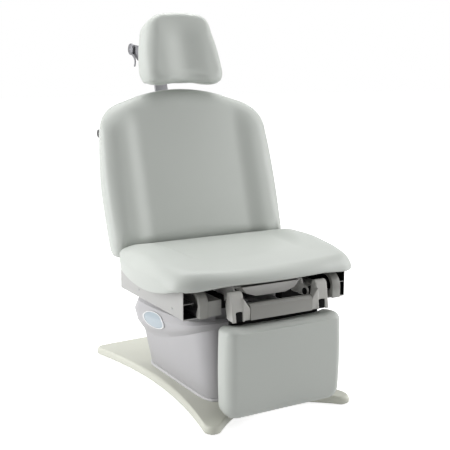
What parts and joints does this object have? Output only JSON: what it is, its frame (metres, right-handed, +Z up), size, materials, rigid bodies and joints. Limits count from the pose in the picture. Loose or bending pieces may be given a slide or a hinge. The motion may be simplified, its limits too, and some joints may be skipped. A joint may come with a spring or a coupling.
{
  "type": "power procedure table",
  "caption": "Powered examination and procedure table with a lifting seat, reclining back, raising leg section, headrest, stirrups and pan on a shrouded telescopic column.",
  "frame": {"origin": "on the floor under the middle of the table's outline", "axes": "+Z up, the patient faces -Y, +X is the patient's left hand"},
  "size_m": [0.7558, 1.0156, 1.3855],
  "materials": {
    "vinyl": "smooth pale sage-grey vinyl",
    "lilac_grey": "satin moulded plastic",
    "ivory": "satin ivory paint",
    "panel_grey": "light grey powder coat",
    "warm_grey": "warm grey powder coat",
    "frame_grey": "grey powder coat",
    "trim_grey": "satin light grey",
    "badge_blue": "pale blue, bright rim",
    "black_steel": "black paint",
    "black_plastic": "fine texture",
    "rubber": "matte",
    "steel": "drawn",
    "chrome": "polished",
    "plywood": "black-stained plywood"
  },
  "bodies": {
    "base": {"base_plate": "ivory", "foot_front_left": "rubber", "foot_front_right": "rubber", "foot_rear_left": "rubber", "foot_rear_right": "rubber", "cover_trim": "trim_grey", "column_cover": "lilac_grey", "front_panel": "lilac_grey", "power_inlet": "black_plastic", "badge_plate": "badge_blue", "outer_mast": "steel", "lift_screw": "steel", "lift_motor": "black_steel", "control_box": "black_plastic"},
    "mid_stage": {"mid_mast": "steel", "mid_cover": "lilac_grey"},
    "seat": {"inner_mast": "steel", "top_cover": "lilac_grey", "carriage": "black_steel", "front_crossmember": "black_steel", "rail_left": "frame_grey", "rail_right": "frame_grey", "side_panel_left": "panel_grey", "side_panel_right": "panel_grey", "leg_bracket_left": "frame_grey", "leg_bracket_right": "frame_grey", "seat_board": "plywood", "seat_cushion": "vinyl", "back_actuator": "black_steel", "leg_actuator": "black_steel"},
    "back": {"back_arm_left": "black_steel", "back_arm_right": "black_steel", "back_shaft": "steel", "back_board": "plywood", "back_cushion": "vinyl", "back_cover": "lilac_grey", "glide_socket": "black_plastic", "paper_bracket_left": "black_plastic", "paper_bracket_right": "black_plastic"},
    "paper_roller": {"paper_rod": "steel"},
    "back_ram": {"back_rod": "steel"},
    "leg_ram": {"leg_rod": "steel"},
    "headrest_glide": {"glide_bar": "chrome"},
    "headrest_link": {"head_link": "chrome"},
    "headrest": {"head_plate": "black_steel", "head_cushion": "vinyl"},
    "headrest_lock": {"lock_lever": "chrome"},
    "leg_section": {"leg_strap_left": "black_steel", "leg_strap_right": "black_steel", "yoke_arm_left": "warm_grey", "yoke_arm_right": "warm_grey", "yoke_bar": "warm_grey", "leg_board": "plywood", "leg_cushion": "vinyl"},
    "stirrup_slide_left": {"stirrup_bar_left": "steel"},
    "stirrup_slide_right": {"stirrup_bar_right": "steel"},
    "stirrup_rest_left": {"stirrup_left": "warm_grey"},
    "stirrup_rest_right": {"stirrup_right": "warm_grey"},
    "pan_tray": {"pan": "frame_grey"}
  },
  "joints": [
    {"name": "seat_lift", "type": "slide", "parent": "base", "child": "seat", "axis": [0, 0, 1], "range_m": [0, 0.4]},
    {"name": "mid_stage_lift", "type": "slide", "parent": "base", "child": "mid_stage", "axis": [0, 0, 1], "range_m": [0, 0.2]},
    {"name": "back_recline", "type": "hinge", "parent": "seat", "child": "back", "pos_m": [0, 0.1016, 0.49], "axis": [1, 0, 0], "range_deg": [-73, 0]},
    {"name": "back_ram_slide", "type": "slide", "parent": "seat", "child": "back_ram", "axis": [0, 1, 0], "range_m": [-0.084, 0]},
    {"name": "leg_raise", "type": "hinge", "parent": "seat", "child": "leg_section", "pos_m": [0, -0.4028, 0.42], "axis": [1, 0, 0], "range_deg": [-90, 0]},
    {"name": "leg_ram_slide", "type": "slide", "parent": "seat", "child": "leg_ram", "axis": [0, 1, 0], "range_m": [-0.075, 0]},
    {"name": "headrest_height", "type": "slide", "parent": "back", "child": "headrest_glide", "axis": [0, 0.2924, 0.9563], "range_m": [0, 0.15]},
    {"name": "headrest_link_tilt", "type": "hinge", "parent": "headrest_glide", "child": "headrest_link", "pos_m": [0, 0.48427, 1.25598], "axis": [1, 0, 0], "range_deg": [-40, 0]},
    {"name": "headrest_tilt", "type": "hinge", "parent": "headrest_link", "child": "headrest", "pos_m": [0, 0.37251, 1.22219], "axis": [1, 0, 0], "range_deg": [-35, 0]},
    {"name": "headrest_lock_lever", "type": "hinge", "parent": "headrest_link", "child": "headrest_lock", "pos_m": [-0.095, 0.48427, 1.25598], "axis": [1, 0, 0], "range_deg": [-60, 0]},
    {"name": "paper_roller_turn", "type": "hinge", "parent": "back", "child": "paper_roller", "pos_m": [0, 0.43273, 0.92666], "axis": [1, 0, 0], "continuous": true},
    {"name": "stirrup_left_slide", "type": "slide", "parent": "seat", "child": "stirrup_slide_left", "axis": [0, -1, 0], "range_m": [0, 0.27]},
    {"name": "stirrup_left_fold", "type": "hinge", "parent": "stirrup_slide_left", "child": "stirrup_rest_left", "pos_m": [-0.269, -0.3928, 0.3905], "axis": [1, 0, 0], "range_deg": [0, 70]},
    {"name": "stirrup_right_slide", "type": "slide", "parent": "seat", "child": "stirrup_slide_right", "axis": [0, -1, 0], "range_m": [0, 0.27]},
    {"name": "stirrup_right_fold", "type": "hinge", "parent": "stirrup_slide_right", "child": "stirrup_rest_right", "pos_m": [0.269, -0.3928, 0.3905], "axis": [1, 0, 0], "range_deg": [0, 70]},
    {"name": "pan_slide", "type": "slide", "parent": "seat", "child": "pan_tray", "axis": [0, -1, 0], "range_m": [0, 0.25]}
  ],
  "couplings": [
    {"joint": "mid_stage_lift", "follows": "seat_lift", "ratio": 0.5},
    {"joint": "back_ram_slide", "follows": "back_recline", "m_per_rad": 0.06536},
    {"joint": "leg_ram_slide", "follows": "leg_raise", "m_per_rad": 0.04682}
  ]
}
